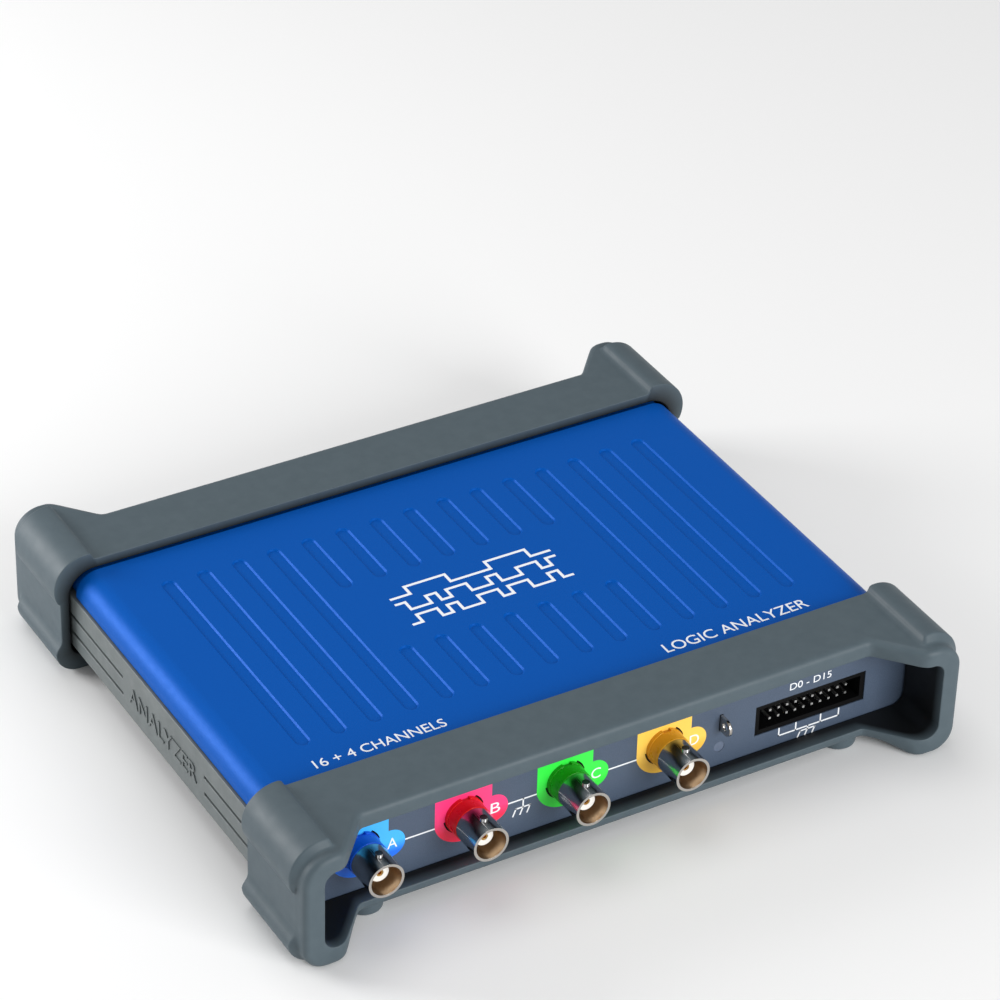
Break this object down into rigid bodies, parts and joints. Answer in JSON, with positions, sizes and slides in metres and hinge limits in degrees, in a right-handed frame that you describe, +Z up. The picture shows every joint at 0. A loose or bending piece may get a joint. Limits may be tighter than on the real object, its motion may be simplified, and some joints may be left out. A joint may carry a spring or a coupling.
{
  "type": "logic analyzer",
  "caption": "Flat USB bench instrument with blue ribbed cover, rubber end bumpers, a row of bayonet sockets and a shrouded pin header.",
  "frame": {"origin": "on the surface it stands on, under the middle of the case", "axes": "+X along the front panel to the right as seen from the front, -Y out of the front panel, +Z up"},
  "size_m": [0.19, 0.1642, 0.0352],
  "materials": {
    "bumper_rubber": "satin moulded grey rubber",
    "blue_paint": "satin metallic blue paint on pressed sheet",
    "rail_grey": "moulded grey plastic",
    "tray_grey": "satin dark grey paint on sheet",
    "panel_black": "black moulded panel",
    "overlay_slate": "fine textured dark slate overlay",
    "boss_blue": "blue moulded plastic",
    "boss_red": "red moulded plastic",
    "boss_green": "green moulded plastic",
    "boss_yellow": "yellow moulded plastic",
    "boss_black": "black moulded plastic",
    "nickel": "bright nickel plate",
    "white_insulator": "white fluoropolymer",
    "gold": "gold plate",
    "connector_black": "black glass-filled plastic",
    "light_lens": "smoked translucent light guide",
    "board_green": "green solder mask",
    "chip_black": "black epoxy package",
    "crystal_metal": "plain metal can",
    "shield_tin": "tin-plated sheet",
    "relay_white": "cream plastic case",
    "capacitor_can": "bare can",
    "ferrite": "dark ferrite block",
    "sink_aluminium": "plain extruded aluminium",
    "screw_steel": "zinc-plated steel",
    "spacer_brass": "turned brass",
    "fan_black": "black fan plastic"
  },
  "bodies": {
    "case": {"board_screws": "screw_steel", "board_spacers": "spacer_brass", "bottom_cover": "tray_grey", "case_screws": "screw_steel", "clock_crystal": "crystal_metal", "converter_chips": "chip_black", "earth_nut": "nickel", "earth_socket": "nickel", "fan_frame": "fan_black", "front_overlay": "overlay_slate", "front_panel": "panel_black", "generator_contact": "gold", "generator_housing": "boss_black", "generator_insulator": "white_insulator", "generator_shell": "nickel", "header_pins": "gold", "header_shroud": "connector_black", "heat_sink": "sink_aluminium", "input_a_contact": "gold", "input_a_housing": "boss_blue", "input_a_insulator": "white_insulator", "input_a_shell": "nickel", "input_b_contact": "gold", "input_b_housing": "boss_red", "input_b_insulator": "white_insulator", "input_b_shell": "nickel", "input_c_contact": "gold", "input_c_housing": "boss_green", "input_c_insulator": "white_insulator", "input_c_shell": "nickel", "input_d_contact": "gold", "input_d_housing": "boss_yellow", "input_d_insulator": "white_insulator", "input_d_shell": "nickel", "input_relays": "relay_white", "input_shields": "shield_tin", "left_side_rail": "rail_grey", "main_board": "board_green", "memory_chips": "chip_black", "power_capacitors": "capacitor_can", "power_inductors": "ferrite", "power_jack_body": "connector_black", "power_jack_pin": "nickel", "probe_tab": "nickel", "processor_chip": "chip_black", "rear_overlay": "overlay_slate", "rear_panel": "panel_black", "right_side_rail": "rail_grey", "status_light": "light_lens", "top_cover": "blue_paint", "trigger_contact": "gold", "trigger_housing": "boss_black", "trigger_insulator": "white_insulator", "trigger_shell": "nickel", "usb_controller": "chip_black", "usb_shell": "nickel", "usb_tongue": "connector_black"},
    "front_bumper": {"front_bumper": "bumper_rubber"},
    "rear_bumper": {"rear_bumper": "bumper_rubber"},
    "fan_rotor": {"fan_rotor": "fan_black"}
  },
  "joints": [
    {"name": "front_bumper_pull", "type": "slide", "parent": "case", "child": "front_bumper", "axis": [0, -1, 0], "range_m": [0, 0.03]},
    {"name": "rear_bumper_pull", "type": "slide", "parent": "case", "child": "rear_bumper", "axis": [0, 1, 0], "range_m": [0, 0.03]},
    {"name": "fan_spin", "type": "hinge", "parent": "case", "child": "fan_rotor", "pos_m": [0.01, 0.0591, 0.0176], "axis": [0, 1, 0], "continuous": true}
  ]
}
